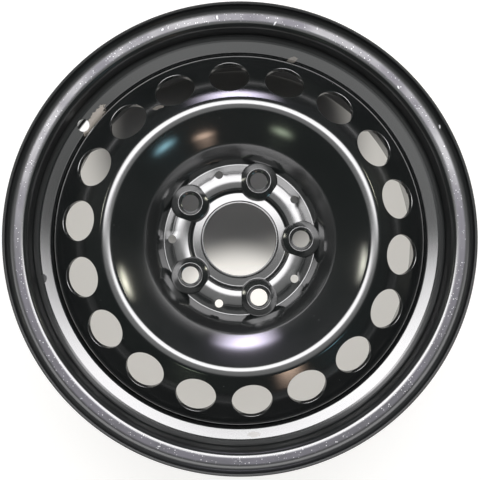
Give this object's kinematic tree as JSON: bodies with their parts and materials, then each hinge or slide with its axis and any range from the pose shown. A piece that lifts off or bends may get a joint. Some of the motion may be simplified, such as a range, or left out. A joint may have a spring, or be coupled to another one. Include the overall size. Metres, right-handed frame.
{
  "type": "steel wheel rim",
  "caption": "Pressed steel car wheel: a drop-centre rim with rolled flanges, welded to a deep vented disc with domed bolt seats and a lipped centre bore.",
  "frame": {"origin": "on the wheel's axis, midway between the two flanges", "axes": "+Z along the axis towards the wheel's outer side, +X through the first bolt hole"},
  "size_m": [0.4144, 0.4144, 0.1764],
  "materials": {
    "rim_paint": "semi-gloss black paint with a little grit on the flange",
    "disc_paint": "glossy black paint",
    "weld_paint": "black paint over rippled weld"
  },
  "bodies": {
    "root": {"rim_barrel": "rim_paint", "wheel_disc": "disc_paint", "disc_weld_1": "weld_paint", "disc_weld_2": "weld_paint", "disc_weld_3": "weld_paint", "disc_weld_4": "weld_paint", "disc_weld_5": "weld_paint", "disc_weld_6": "weld_paint"}
  },
  "joints": []
}
